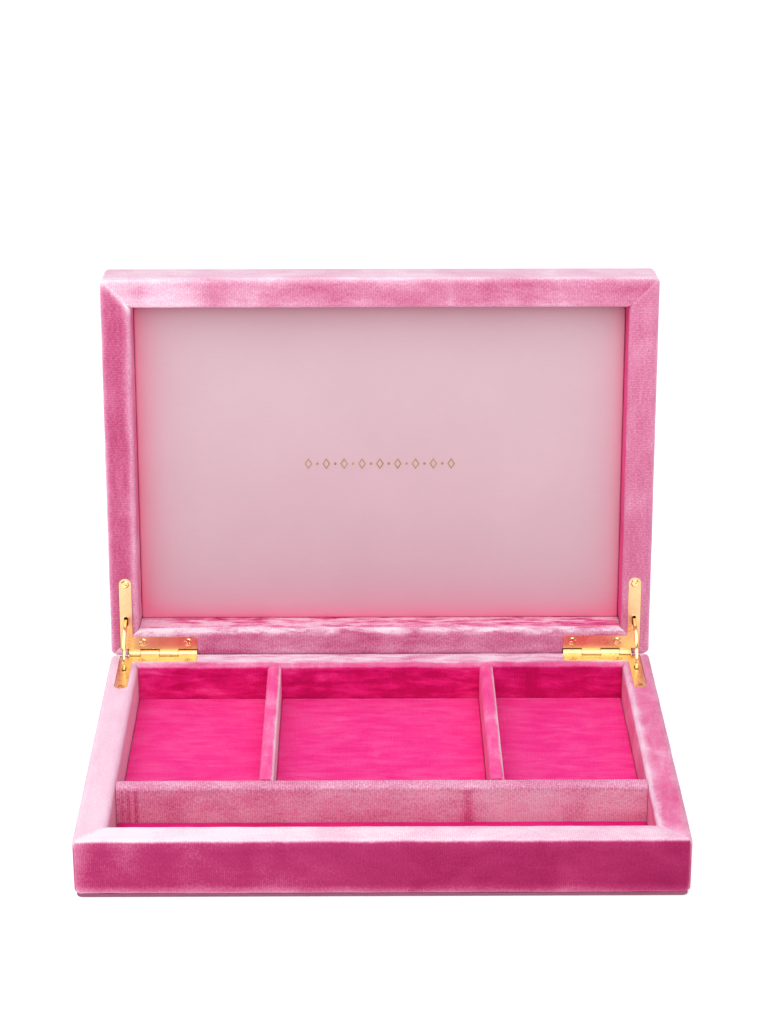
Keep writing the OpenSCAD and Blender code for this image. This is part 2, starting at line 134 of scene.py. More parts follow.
def grain(tree, vector, size, detail=2.0, roughness=0.5, distortion=0.0):
    # noise whose features are about size metres across, from 0 to 1
    settings = {"Scale": 1 / size, "Detail": detail, "Roughness": roughness, "Distortion": distortion}
    made = addNode(tree, "ShaderNodeTexNoise", {"Vector": vector, **settings})
    return made.outputs["Fac"]


def stretched(tree, vector, scale):
    made = addNode(tree, "ShaderNodeMapping", {"Vector": vector, "Scale": scale}, vector_type="POINT")
    return made.outputs["Vector"]


def ribs(tree, vector, pitch, direction, distortion):
    # a Wave texture of scale 1 has 10 / pi bands to the metre
    settings = {"Scale": math.pi / 10 / pitch, "Distortion": distortion, "Detail": 1.0, "Detail Scale": 2.0}
    made = addNode(
        tree,
        "ShaderNodeTexWave",
        {"Vector": vector, **settings},
        wave_type="BANDS",
        bands_direction=direction,
        wave_profile="SIN",
    )
    return made.outputs["Fac"]


def newMaterial(name, shader):
    made = bpy.data.materials.new(name)
    made.use_nodes = True
    tree = made.node_tree
    tree.nodes.clear()
    body = addNode(tree, "ShaderNodeBsdfPrincipled", shader)
    addNode(tree, "ShaderNodeOutputMaterial", {"Surface": body.outputs[0]})
    return made, tree, body


def bumpFrom(tree, body, height, strength, distance):
    bump = addNode(tree, "ShaderNodeBump", {"Height": height, "Strength": strength, "Distance": distance})
    tree.links.new(bump.outputs[0], body.inputs["Normal"])


# Sizes and pitches are in metres. disturbed and deepClouds say how much a brushed pile streaks
# and how much the deep colour clouds.
velvetLook = {
    "palette": [
        (0.00, (0.240, 0.004, 0.060)),
        (0.18, (0.330, 0.010, 0.085)),
        (0.36, (0.430, 0.032, 0.135)),
        (0.52, (0.580, 0.125, 0.260)),
        (0.68, (0.710, 0.270, 0.430)),
        (0.84, (0.840, 0.520, 0.670)),
        (1.00, (0.930, 0.790, 0.870)),
    ],
    "ribPitch": 0.0009,
    "disturbed": 1.2,
    "deepClouds": 0.7,
    "sheen": 0.2,
    "sheenRoughness": 0.4,
    "sheenTint": (1.0, 0.72, 0.84, 1),
}
floorLook = {
    "palette": [
        (0.00, (0.560, 0.000, 0.110)),
        (0.25, (0.740, 0.006, 0.190)),
        (0.50, (0.860, 0.024, 0.260)),
        (0.75, (0.900, 0.090, 0.340)),
        (1.00, (0.930, 0.300, 0.520)),
    ],
    "ribPitch": 0.0011,
    "disturbed": 0.0,
    "deepClouds": 0.0,
    "sheen": 0.12,
    "sheenRoughness": 0.5,
    "sheenTint": (1.0, 0.55, 0.75, 1),
}
nap = {
    "clouds": 0.030,
    "strokes": 0.0045,
    "tufts": 0.0028,
    "pile": 0.0009,
    "ribShare": 0.15,       # of the speckle
    "seamFuzz": 0.07,       # how much lighter the tufts stand along a seam
    "seamFall": 600.0,      # how fast they die away from it, per metre
    "raggedness": 4.5,      # of the line where deep cloth meets light cloth
    "bump": 0.55,
    "height": 0.00035,
}


def velvet(name, look, seed, patches, streaks, speckle, sheen):
    # Lightness comes from the brushing of the pile, held in a map together with painted sheen and painted
    # light, and from noise over it.
    # Where the pile stands up, as the Depth map says, the colour is the deep one of the floors.
    made, tree, body = newMaterial(
        name,
        {
            "Sheen Weight": sheen,
            "Sheen Roughness": look["sheenRoughness"],
            "Sheen Tint": look["sheenTint"],
            "Specular IOR Level": 0.15,
        },
    )
    seam, lightness, _ = clothMarks(tree, "LayAndLight")
    deep, disturbed, _ = clothMarks(tree, "Depth")
    offset = (seed * 0.37, seed * 0.21, 0)
    moved = addNode(tree, "ShaderNodeVectorMath", {0: clothMap(tree, "UVMap"), 1: offset}, operation="ADD")
    cloth = moved.outputs[0]
    clouds = grain(tree, cloth, nap["clouds"], 3.0, 0.55, 0.6)
    strokes = grain(tree, stretched(tree, cloth, (0.25, 1, 1)), nap["strokes"], 4.0, 0.62, 0.5)
    tufts = grain(tree, stretched(tree, cloth, (1, 0.5, 1)), nap["tufts"], 3.0, 0.7, 0.4)
    pile = grain(tree, stretched(tree, cloth, (1, 0.7, 1)), nap["pile"], 2.0, 0.8)
    rib = ribs(tree, cloth, look["ribPitch"], "X", 0.6)
    # the more disturbed the pile, the stronger its strokes, and the deeper the colour, the wider its clouds
    streaks = calc(tree, "MULTIPLY_ADD", disturbed, look["disturbed"], streaks)
    patches = calc(tree, "MULTIPLY_ADD", deep, look["deepClouds"], patches)
    marks = [(clouds, patches), (strokes, streaks), (pile, speckle), (rib, speckle * nap["ribShare"])]
    for value, amount in marks:
        lightness = calc(tree, "MULTIPLY_ADD", calc(tree, "SUBTRACT", value, 0.5), amount, lightness)
    fuzz = calc(tree, "MAXIMUM", calc(tree, "MULTIPLY_ADD", seam, -nap["seamFall"], 1.0), 0.0)
    ragged = calc(tree, "MULTIPLY", fuzz, calc(tree, "MULTIPLY", pile, 2.0))
    lightness = calc(tree, "MULTIPLY_ADD", ragged, nap["seamFuzz"], lightness)
    # where deep cloth meets light cloth the tufts of one stand over the other
    border = calc(tree, "MULTIPLY", deep, calc(tree, "SUBTRACT", 1.0, deep))
    tufted = calc(tree, "SUBTRACT", calc(tree, "ADD", tufts, pile), 1.0)
    deep = calc(tree, "MULTIPLY_ADD", calc(tree, "MULTIPLY", border, tufted), nap["raggedness"], deep)
    light = rampOf(tree, lightness, velvetLook["palette"])
    colour = mixColours(tree, deep, light, rampOf(tree, lightness, floorLook["palette"]))
    tree.links.new(colour, body.inputs["Base Color"])
    tree.links.new(calc(tree, "MULTIPLY_ADD", strokes, 0.25, 0.68), body.inputs["Roughness"])
    height = calc(tree, "MULTIPLY_ADD", rib, 0.35, calc(tree, "MULTIPLY_ADD", strokes, 0.8, pile))
    bumpFrom(tree, body, height, nap["bump"], nap["height"])
    return made


satinLook = {
    "colours": [(0.3, (0.610, 0.440, 0.492)), (0.7, (0.665, 0.495, 0.552))],
    # painted reflection: the pink of the velvet, mixed into the satin along its edges
    "paintedReflection": (0.86, 0.22, 0.36, 1),
    # painted shadow: the dark pink that the satin turns under the rim
    "shade": (0.22, 0.07, 0.10, 1),
    "ribPitch": 0.0007,
    "slub": 0.0008,
    "weave": 0.0006,
    "clouds": 0.05,
}


def satin(name):
    made, tree, body = newMaterial(
        name,
        {
            "Sheen Weight": 0.2,
            "Sheen Roughness": 0.3,
            "Sheen Tint": (1.0, 0.93, 0.96, 1),
            "Specular IOR Level": 0.45,
        },
    )
    flat = clothMap(tree, "UVMap")
    rib = ribs(tree, flat, satinLook["ribPitch"], "Y", 0.8)
    slub = grain(tree, stretched(tree, flat, (0.12, 1, 1)), satinLook["slub"], 2.0, 0.6)
    weave = grain(tree, flat, satinLook["weave"], 2.0, 0.7)
    clouds = grain(tree, flat, satinLook["clouds"], 2.0, 0.5)
    tone = calc(tree, "MULTIPLY_ADD", clouds, 0.4, calc(tree, "MULTIPLY", weave, 0.3))
    tone = calc(tree, "MULTIPLY_ADD", slub, 0.3, tone)
    # along the edges the maps hold a painted reflection of the velvet beside the satin and a painted shadow
    # under the rim along its front
    paintedReflection = clothMarks(tree, "LayAndLight")[1]
    shade = clothMarks(tree, "Depth")[0]
    colour = mixColours(tree, paintedReflection, rampOf(tree, tone, satinLook["colours"]), satinLook["paintedReflection"])
    # painted shadow: the satin darkens along its front edge, under the rim
    colour = mixColours(tree, shade, colour, satinLook["shade"])
    tree.links.new(colour, body.inputs["Base Color"])
    tree.links.new(calc(tree, "MULTIPLY_ADD", slub, 0.18, 0.36), body.inputs["Roughness"])
    height = calc(tree, "MULTIPLY_ADD", rib, 0.5, calc(tree, "MULTIPLY_ADD", weave, 0.6, slub))
    bumpFrom(tree, body, height, 0.3, 0.00008)
    return made


def metal(name, colours, roughness, grainSize, bump):
    made, tree, body = newMaterial(name, {"Metallic": 1.0})
    place = addNode(tree, "ShaderNodeTexCoord").outputs["Object"]
    brushed = grain(tree, stretched(tree, place, (0.15, 1, 1)), grainSize, 3.0, 0.6)
    cloud = grain(tree, place, 0.006, 3.0, 0.6)
    tree.links.new(rampOf(tree, cloud, [(0.3, colours[0]), (0.7, colours[1])]), body.inputs["Base Color"])
    rough = calc(tree, "MULTIPLY_ADD", cloud, roughness[1] - roughness[0], roughness[0])
    tree.links.new(rough, body.inputs["Roughness"])
    bumpFrom(tree, body, brushed, bump, 0.00005)
    return made


def board(name, colours, grainSize, stretch, bump):
    made, tree, body = newMaterial(name, {"Specular IOR Level": 0.25})
    place = addNode(tree, "ShaderNodeTexCoord").outputs["Object"]
    fibre = grain(tree, stretched(tree, place, stretch), grainSize, 4.0, 0.65, 0.3)
    cloud = grain(tree, place, 0.025, 3.0, 0.6)
    tone = calc(tree, "MULTIPLY_ADD", fibre, 0.6, calc(tree, "MULTIPLY", cloud, 0.4))
    tree.links.new(rampOf(tree, tone, [(0.3, colours[0]), (0.7, colours[1])]), body.inputs["Base Color"])
    tree.links.new(calc(tree, "MULTIPLY_ADD", fibre, 0.2, 0.7), body.inputs["Roughness"])
    bumpFrom(tree, body, fibre, bump, 0.0002)
    return made


satinCloth = satin("liningSatin")
leafBrass = metal("leafBrass", ((0.90, 0.62, 0.29), (0.96, 0.70, 0.37)), (0.22, 0.34), 0.0006, 0.12)
giltBrass = metal("giltBrass", ((0.88, 0.60, 0.27), (0.95, 0.68, 0.34)), (0.10, 0.20), 0.0006, 0.12)
goldFoil = metal("goldFoil", ((0.36, 0.22, 0.09), (0.52, 0.35, 0.16)), (0.30, 0.50), 0.0003, 0.4)
bottomPaper = board("bottomPaper", ((0.22, 0.080, 0.130), (0.34, 0.135, 0.200)), 0.0008, (1, 1, 1), 0.5)
fibreboard = board("fibreboard", ((0.42, 0.28, 0.15), (0.62, 0.45, 0.27)), 0.0012, (0.2, 1, 1), 0.3)
greyboard = board("greyboard", ((0.46, 0.43, 0.38), (0.62, 0.59, 0.53)), 0.0007, (1, 1, 1), 0.3)
print("materials made")


# Cloth

def line(start, end, step):
    start = Vector(start)
    end = Vector(end)
    count = max(1, round((end - start).length / step))
    return [start.lerp(end, i / count) for i in range(count)]


def turn(centre, radius, fromAngle, toAngle, count=7):
    points = []
    for i in range(count):
        angle = math.radians(fromAngle + (toAngle - fromAngle) * i / count)
        points.append(Vector((centre[0] + radius * math.cos(angle), centre[1] + radius * math.sin(angle))))
    return points


smallRipple = {"size": 2.4, "share": 0.35}
seamReach = 0.9         # how far from a seam its dip is felt
noSeam = 20.0           # a distance at which nothing is felt of a seam


def layCloth(columns, rows, spot, ripple):
    # a flat grid of cloth, put over its board by spot, which gives for a column and a row
    # the place, the spot on the flat cloth, the distance to a seam, the brushing of the pile with painted
    # sheen and light in it (on the satin a painted reflection), how deep its colour is and how disturbed
    # its pile (on the satin a painted shadow), and how free the cloth is to ripple
    bm = bmesh.new()
    bmesh.ops.create_grid(bm, x_segments=columns, y_segments=rows, size=1)
    bm.verts.ensure_lookup_table()
    marks = []
    for vert in bm.verts:
        column = round((vert.co.x + 1) / 2 * columns)
        row = round((vert.co.y + 1) / 2 * rows)
        place, flat, seam, layAndLight, deep, free = spot(column, row)
        vert.co = place
        marks.append((flat, seam, layAndLight, deep, free))
    bm.normal_update()
    for vert, (flat, seam, layAndLight, deep, free) in zip(bm.verts, marks):
        size = ripple["size"]
        wave = noise.noise(Vector((flat[0] / size, flat[1] / size, ripple["seed"])))
        size = smallRipple["size"]
        small = noise.noise(Vector((flat[0] / size, flat[1] / size, ripple["seed"] + 5)))
        dip = ripple["seamDip"] * math.exp(-((seam / seamReach) ** 2))
        vert.co += vert.normal * free * (ripple["height"] * (wave + smallRipple["share"] * small) - dip)
    flatMap = bm.loops.layers.uv.new("UVMap")
    layAndLightMap = bm.loops.layers.uv.new("LayAndLight")
    deepAndShadeMap = bm.loops.layers.uv.new("Depth")
    for face in bm.faces:
        face.smooth = True
        for loop in face.loops:
            flat, seam, layAndLight, deep, free = marks[loop.vert.index]
            loop[flatMap].uv = (flat[0] / 1000, flat[1] / 1000)
            loop[layAndLightMap].uv = (seam / 1000, layAndLight)
            loop[deepAndShadeMap].uv = deep
    return bm


def addPiece(name, bm, place, material, body, nodes):
    bmesh.ops.transform(bm, matrix=place, verts=bm.verts)
    if place.determinant() < 0:
        bmesh.ops.reverse_faces(bm, faces=bm.faces)
    mesh = bpy.data.meshes.new(name)
    bm.to_mesh(mesh)
    bm.free()
    mesh.materials.append(material)
    piece = bpy.data.objects.new(name, mesh)
    bpy.context.scene.collection.objects.link(piece)
    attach(piece, body)
    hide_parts(*nodes)
    return piece


def applyModifiers(piece):
    graph = bpy.context.evaluated_depsgraph_get()
    mesh = bpy.data.meshes.new_from_object(piece.evaluated_get(graph))
    piece.modifiers.clear()
    piece.data = mesh
    return mesh


def giveThickness(piece, thickness, cutters=()):
    wall = piece.modifiers.new("wall", "SOLIDIFY")
    wall.thickness = thickness / 1000
    wall.offset = -1
    for cutter in cutters:
        cut = piece.modifiers.new("cut", "BOOLEAN")
        cut.operation = "DIFFERENCE"
        cut.object = cutter
        cut.solver = "EXACT"
    applyModifiers(piece).set_sharp_from_angle(angle=math.radians(50))


def smoothLays(lays):
    padded = [lays[0]] + lays + [lays[-1]]
    return [(padded[i] + 2 * padded[i + 1] + padded[i + 2]) / 4 for i in range(len(lays))]


def marksOf(laidAndLit, names):
    # the brushing of the pile with painted sheen and light in it, how deep its colour is and how disturbed
    # it is, for each row of the grid
    marks = [smoothLays([laidAndLit[part] for part in names])]
    for mark in ("deep", "disturbed"):
        marks.append(smoothLays([laidAndLit.get(mark, {}).get(part, 0.0) for part in names]))
    return marks


def acrossOf(profile):
    # how far along the section each of its points lies
    across = [0.0]
    for before, after in zip(profile, profile[1:]):
        across.append(across[-1] + (after - before).length)
    return across


waverSize = 19
quickWaver = {"size": 3, "share": 0.5}


def layAt(lays, row, along, seed, waver):
    # the line where the pile turns wavers along the edge
    slow = noise.noise(Vector((along / waverSize, seed, 0)))
    quick = noise.noise(Vector((along / quickWaver["size"], seed, 4)))
    place = min(max(row + waver * (slow + quickWaver["share"] * quick), 0), len(lays) - 1)
    low = min(int(place), len(lays) - 2)
    return lays[low] + (lays[low + 1] - lays[low]) * (place - low)


def wrapSpots(length, profile, marks, corner, tilt, step, seed, waver, stillBelow):
    # mitred at both ends, with the outer corner rounded
    across = acrossOf(profile)
    endPart = 2.4           # the last stretch before the mitre has closer columns
    endColumns = 3
    half = round((length / 2 - endPart) / step)
    columns = 2 * (half + endColumns)

    def spot(column, row):
        inset, height = profile[row]
        radius = max(corner - inset, 0.0)
        straight = length / 2 - inset - radius
        whole = straight + radius * math.pi / 4
        offset = column - (half + endColumns)
        side = -1 if offset < 0 else 1
        count = abs(offset)
        if count <= half:
            along = (whole - endPart) * count / half
        else:
            along = whole - endPart + endPart * (count - half) / endColumns
        if along <= straight or radius == 0:
            place = Vector((side * along, inset, height))
        else:
            angle = (along - straight) / radius
            outward = straight + radius * math.sin(angle)
            place = Vector((side * outward, inset + radius * (1 - math.cos(angle)), height))
        layAndLight, deep, disturbed = [layAt(mark, row, side * along, seed, waver) for mark in marks]
        layAndLight += tilt(row, side * along, whole - along)
        free = min(1.0, across[row] / stillBelow) if stillBelow else 1.0
        return place, (side * along, across[row]), whole - along, layAndLight, (deep, disturbed), free

    return columns, len(profile) - 1, spot, across[-1]


halfWidth = case["width"] / 2
sidePlace = {
    "back": Matrix.Translation((0, -overhang, 0)),
    "front": Matrix.Translation((0, case["depth"] - overhang, 0)) @ Matrix.Rotation(math.pi, 4, "Z"),
    "right": Matrix.Translation((halfWidth, midDepth, 0)) @ Matrix.Rotation(math.pi / 2, 4, "Z"),
    "left": Matrix.Translation((-halfWidth, midDepth, 0)) @ Matrix.Rotation(-math.pi / 2, 4, "Z"),
}


def rimProfile(low, lowRound, top, innerLow, rimRound, turnUnder):
    # from under the board, up the outer face, over the rim and down the inner face
    lip = case["lipRound"]
    wide = case["rimWidth"]
    step = case["mesh"]
    parts = []
    if turnUnder:
        parts.append(("under", line((turnUnder, low), (lowRound, low), step)))
        parts.append(("foot", turn((lowRound, low + lowRound), lowRound, -90, -180, 5)))
    hemTop = low + lowRound + case["hem"]
    parts.append(("hem", line((0, low + lowRound), (0, hemTop), step)))
    parts.append(("outer", line((0, hemTop), (0, top - rimRound), step)))
    parts.append(("roll", turn((rimRound, top - rimRound), rimRound, 180, 130, 4)))
    parts.append(("crest", turn((rimRound, top - rimRound), rimRound, 130, 90, 3)))
    parts.append(("top", line((rimRound, top), (wide - lip, top), step)))
    parts.append(("lip", turn((wide - lip, top - lip), lip, 90, 0)))
    parts.append(("inner", line((wide, top - lip), (wide, innerLow), step) + [Vector((wide, innerLow))]))
    points = [point for name, run in parts for point in run]
    names = [name for name, run in parts for point in run]
    return points, names


# Hinge pockets, cut through the velvet

pocket = {
    "fit": 0.12,
    "armWidth": 6.5,
    "armDepth": 9.2,
    "endRound": 1.5,
    "barrel": 2.5,          # radius
    "barrelFit": 0.5,
    "barrelEnd": 1.1,       # past the middle of the arm
    "cut": 4,               # height of the plate's cutter
    "spare": 2,             # how far the barrel's cutter stands out of the cloth
}


def arcAbout(centreX, centreY, radius, fromAngle, toAngle, count):
    points = []
    for i in range(count + 1):
        angle = fromAngle + (toAngle - fromAngle) * i / count
        points.append((centreX + radius * math.cos(angle), centreY + radius * math.sin(angle)))
    return points


def pocketCutters(half, side):
    low, high = boxIn(half, "right_base_leaf" if half == "base" else "right_lid_leaf")
    fit = pocket["fit"]
    right = high.x + fit
    left = high.x - pocket["armWidth"] - fit
    barrelEdge = pocket["barrel"] - fit
    endRadius = (right - left) / 2
    endMiddle = high.y + fit - endRadius
    radius = pocket["endRound"] + fit
    armEdge = pocket["armDepth"] + fit
    outline = [(low.x - fit, barrelEdge), (right, barrelEdge)]
    outline += arcAbout(left + endRadius, endMiddle, endRadius, 0, math.pi, 12)
    outline.append((left, armEdge))
    outline += arcAbout(low.x - fit + radius, armEdge - radius, radius, math.pi / 2, math.pi, 5)
    plate = bmesh.new()
    face = plate.faces.new([plate.verts.new((x, y, low.z)) for x, y in outline])
    raised = bmesh.ops.extrude_face_region(plate, geom=[face])["geom"]
    top = [item for item in raised if isinstance(item, bmesh.types.BMVert)]
    bmesh.ops.translate(plate, vec=(0, 0, pocket["cut"]), verts=top)
    barrel = bmesh.new()
    start = low.x - pocket["barrelFit"]
    end = right - pocket["armWidth"] / 2 - pocket["barrelEnd"] + pocket["barrelFit"]
    spare = pocket["spare"]
    size = Vector((end - start, 2 * pocket["barrel"] + spare, pocket["barrel"] + spare))
    centre = Vector(((start + end) / 2, -spare / 2, (spare - pocket["barrel"]) / 2))
    bmesh.ops.create_cube(barrel, size=1, matrix=Matrix.Translation(centre) @ Matrix.Diagonal((*size, 1)))
    cutters = []
    for name, bm in (("plateCutter", plate), ("barrelCutter", barrel)):
        bmesh.ops.transform(bm, matrix=placeOf[half] @ Matrix.Diagonal((side, 1, 1, 1)), verts=bm.verts)
        bmesh.ops.recalc_face_normals(bm, faces=bm.faces)
        mesh = bpy.data.meshes.new(name)
        bm.to_mesh(mesh)
        bm.free()
        cutter = bpy.data.objects.new(name, mesh)
        bpy.context.scene.collection.objects.link(cutter)
        cutters.append(cutter)
    return cutters


cuttersOf = {(half, side): pocketCutters(half, side) for half in ("base", "lid") for side in (-1, 1)}

# How light each panel looks, by part of its section. The pile of each panel is brushed its own way,
# and painted light is mixed in: the base's tops and crests lighter as lit from above and seen at a
# grazing angle, some rolls and lips lighter as painted highlights, and the lid's front outer face pale
# as painted sheen. deep gives the parts with the deep colour of the floors, and disturbed those with
# streaks. leftward makes the left end lighter, end adds to it over its last millimetres, and even names
# the parts that neither changes. waver is how far the lines where the pile turns wander.
wrapLaysAndLight = {
    "base_front": {
        "under": 0.3, "foot": 0.56, "hem": 0.44, "outer": 0.27, "roll": 0.33, "crest": 0.93, "top": 0.93,
        "lip": 0.90, "inner": 0.3, "deep": {"inner": 1.0}, "waver": 0.6,
        "leftward": 0.10, "end": (0.14, 7), "patches": 0.42, "streaks": 0.16, "speckle": 0.36,
    },
    "base_back": {
        "under": 0.3, "foot": 0.5, "hem": 0.42, "outer": 0.36, "roll": 0.70, "crest": 0.90, "top": 0.88,
        "lip": 0.66, "inner": 0.13, "waver": 1.2,
        "deep": {"inner": 0.93, "lip": 0.55}, "disturbed": {"top": 0.4, "inner": 0.9},
        "leftward": 0.03, "end": (0.12, 30), "patches": 0.40, "streaks": 0.50, "speckle": 0.36,
    },
    "base_left": {
        "under": 0.3, "foot": 0.5, "hem": 0.48, "outer": 0.45, "roll": 0.84, "crest": 0.90, "top": 0.89,
        "lip": 0.84, "inner": 0.82, "deep": {"inner": 0.1}, "waver": 1.0,
        "leftward": 0.0, "end": (0.0, 7), "patches": 0.12, "streaks": 0.10, "speckle": 0.22,
    },
    "base_right": {
        "under": 0.3, "foot": 0.5, "hem": 0.46, "outer": 0.40, "roll": 0.66, "crest": 0.68, "top": 0.68,
        "lip": 0.84, "inner": 0.66, "deep": {"inner": 0.5, "top": 0.35}, "waver": 1.2,
        "leftward": 0.0, "end": (0.0, 7), "patches": 0.40, "streaks": 0.35, "speckle": 0.36,
    },
    # painted sheen: the outer face, hem and roll are pale, as velvet looks when seen at a grazing angle
    "lid_front": {
        "hem": 0.81, "outer": 0.83, "roll": 0.88, "crest": 0.74, "top": 0.65, "lip": 0.70, "inner": 0.50,
        "deep": {"inner": 0.3}, "waver": 1.0, "sheen": 1.0, "even": ("hem", "outer", "roll"),
        "leftward": 0.06, "end": (0.13, 36), "patches": 0.48, "streaks": 0.25, "speckle": 0.44,
    },
    "lid_back": {
        "hem": 0.45, "outer": 0.45, "roll": 0.62, "crest": 0.62, "top": 0.61, "lip": 0.86, "inner": 0.83,
        "deep": {"inner": 0.45}, "disturbed": {"lip": 1.0, "inner": 1.8}, "waver": 0.8,
        "leftward": 0.0, "end": (0.16, 26), "patches": 0.50, "streaks": 0.35, "speckle": 0.50,
    },
    "lid_left": {
        "hem": 0.68, "outer": 0.72, "roll": 0.80, "crest": 0.60, "top": 0.50, "lip": 0.74, "inner": 0.74,
        "deep": {"inner": 0.6}, "waver": 1.0,
        "leftward": -0.02, "end": (0.30, 3), "patches": 0.26, "streaks": 0.20, "speckle": 0.42,
    },
    "lid_right": {
        "hem": 0.68, "outer": 0.70, "roll": 0.74, "crest": 0.62, "top": 0.61, "lip": 0.62, "inner": 0.35,
        "deep": {"inner": 1.0}, "waver": 1.0,
        "leftward": 0.0, "end": (0.0, 7), "patches": 0.26, "streaks": 0.22, "speckle": 0.42,
    },
}

baseLow = boxIn("base", "bottom_cover")[1].z
boardTop = boxIn("base", "base_board")[1].z
rimTop = frontHigh.z
seamLow = boxIn("lid", "lid_top_velvet")[1].z
liningLow = boxIn("lid", "lid_top_board")[1].z
rimRipple = {"size": 13.0, "height": 0.13, "seamDip": 0.3}
for number, (name, laidAndLit) in enumerate(wrapLaysAndLight.items()):
    half, side = name.split("_")
    rimRound = case["backRound"] if side == "back" else case["rimRound"]
    if half == "base":
        foot = case["footRound"]
        profile, names = rimProfile(baseLow, foot, rimTop, boardTop, rimRound, case["turnUnder"])
    else:
        profile, names = rimProfile(seamLow, 0, rimTop, liningLow, rimRound, 0)
    length = case["width"] if side in ("front", "back") else case["depth"]

    def tilt(row, along, toEnd, laidAndLit=laidAndLit, names=names, side=side, halfLength=length / 2):
        if names[row] in laidAndLit.get("even", ()):
            return 0.0
        # a front bar's own X runs to the left
        left = along / halfLength if side == "front" else -along / halfLength
        amount, reach = laidAndLit["end"]
        end = amount * math.exp(-((toEnd / reach) ** 2)) if left > 0 else 0
        return laidAndLit["leftward"] * left + end

    columns, rows, spot, across = wrapSpots(
        length,
        profile,
        marksOf(laidAndLit, names),
        case["cornerRound"],
        tilt,
        case["mesh"],
        number * 3.7,
        laidAndLit["waver"],
        case["still"] if half == "lid" else 0,
    )
    bm = layCloth(columns, rows, spot, {**rimRipple, "seed": number * 7.3})
    material = velvet(
        name + "_velvet",
        velvetLook,
        number + 1,
        laidAndLit["patches"],
        laidAndLit["streaks"],
        laidAndLit["speckle"],
        laidAndLit.get("sheen", velvetLook["sheen"]),
    )
    place = placeOf[half] @ sidePlace[side]
    piece = addPiece(name + "_cloth", bm, place, material, half, [name + "_velvet"])
    cutters = []
    if side in ("back", "left"):
        cutters += cuttersOf[half, -1]
    if side in ("back", "right"):
        cutters += cuttersOf[half, 1]
    giveThickness(piece, case["cloth"], cutters)
for cutters in cuttersOf.values():
    for cutter in cutters:
        bpy.data.objects.remove(cutter)
print("rim velvet laid")


# Velvet over the dividers

divider = {"round": 2.0, "mesh": 1.0, "cloth": 0.9, "waver": 1.2}
dividerRipple = {"size": 10.0, "height": 0.12, "seamDip": 0.0}


def dividerSpots(length, profile, marks, strokes, step):
    across = acrossOf(profile)
    columns = round(length / step)

    def spot(column, row):
        along = length * (column / columns - 0.5)
        inset, height = profile[row]
        layAndLight, deep, disturbed = [layAt(mark, row, along, length, divider["waver"]) for mark in marks]
        if inset == profile[0].x:
            for at, reach, amount in strokes:
                layAndLight += amount * math.exp(-(((along - at) / reach) ** 2))
        place = Vector((along, inset, height))
        return place, (along, across[row]), noSeam, layAndLight, (deep, disturbed), 1.0

    return columns, len(profile) - 1, spot, across[-1]


# strokes are brush marks across the pile: place along the divider, reach and how much lighter.
# On the cross dividers edge is a painted highlight along the rounded top edge, and back is pale as painted
# sheen on the face beside it
dividerLaysAndLight = {
    "long": {
        "front": 0.80, "top": 0.71, "edge": 0.70, "back": 0.42, "deep": {"front": 0.20, "top": 0.1},
        "patches": 0.40, "streaks": 0.25, "speckle": 0.85, "turned": math.pi,
        "strokes": [
            (119, 0.9, -0.22), (115.5, 0.8, -0.26), (122, 1.0, -0.14), (97, 6, -0.06), (-40.5, 2.4, -0.20),
            (-54, 7, 0.08), (-72, 12, 0.08), (-100, 16, 0.07),
        ],
    },
    "left": {
        "front": 0.70, "top": 0.70, "edge": 0.97, "back": 0.92,
        "deep": {"front": 0.9, "top": 0.9, "back": 0.1},
        "patches": 0.25, "streaks": 0.5, "speckle": 0.50, "turned": -math.pi / 2, "strokes": [],
    },
    "right": {
        "front": 0.66, "top": 0.70, "edge": 0.97, "back": 0.92,
        "deep": {"front": 1.0, "top": 0.9, "back": 0.1},
        "patches": 0.25, "streaks": 0.5, "speckle": 0.50, "turned": -math.pi / 2, "strokes": [],
    },
}
for number, (name, laidAndLit) in enumerate(dividerLaysAndLight.items()):
    low, high = boxIn("base", name + "_divider_velvet")
    lengthwise = name == "long"
    thick = (high.y - low.y) if lengthwise else (high.x - low.x)
    length = (high.x - low.x) if lengthwise else (high.y - low.y)
    radius = divider["round"]
    step = divider["mesh"]
    face = thick / 2
    crown = face - radius
    shoulder = high.z - radius
    parts = [
        ("front", line((-face, low.z), (-face, shoulder), step)),
        ("top", turn((-crown, shoulder), radius, 180, 90)),
        ("top", line((-crown, high.z), (crown, high.z), step)),
        ("top", turn((crown, shoulder), radius, 90, 50, 3)),
        ("edge", turn((crown, shoulder), radius, 50, 0, 4)),
        ("back", line((face, shoulder), (face, low.z), step) + [Vector((face, low.z))]),
    ]
    profile = [point for part, run in parts for point in run]
    names = [part for part, run in parts for point in run]
    marks = marksOf(laidAndLit, names)
    columns, rows, spot, across = dividerSpots(length, profile, marks, laidAndLit["strokes"], step)
    bm = layCloth(columns, rows, spot, {**dividerRipple, "seed": 90 + number * 3.1})
    middle = (low + high) / 2
    place = placeOf["base"] @ Matrix.Translation((middle.x, middle.y, 0))
    place = place @ Matrix.Rotation(laidAndLit["turned"], 4, "Z")
    node = name + "_divider_velvet"
    material = velvet(
        node,
        velvetLook,
        20 + number,
        laidAndLit["patches"],
        laidAndLit["streaks"],
        laidAndLit["speckle"],
        velvetLook["sheen"],
    )
    piece = addPiece(name + "_divider_cloth", bm, place, material, "base", [node])
    giveThickness(piece, divider["cloth"])
print("dividers covered")


# Cloth stretched over a board and down its edges

edgeRows = 6            # rows of the grid round the edge of a board


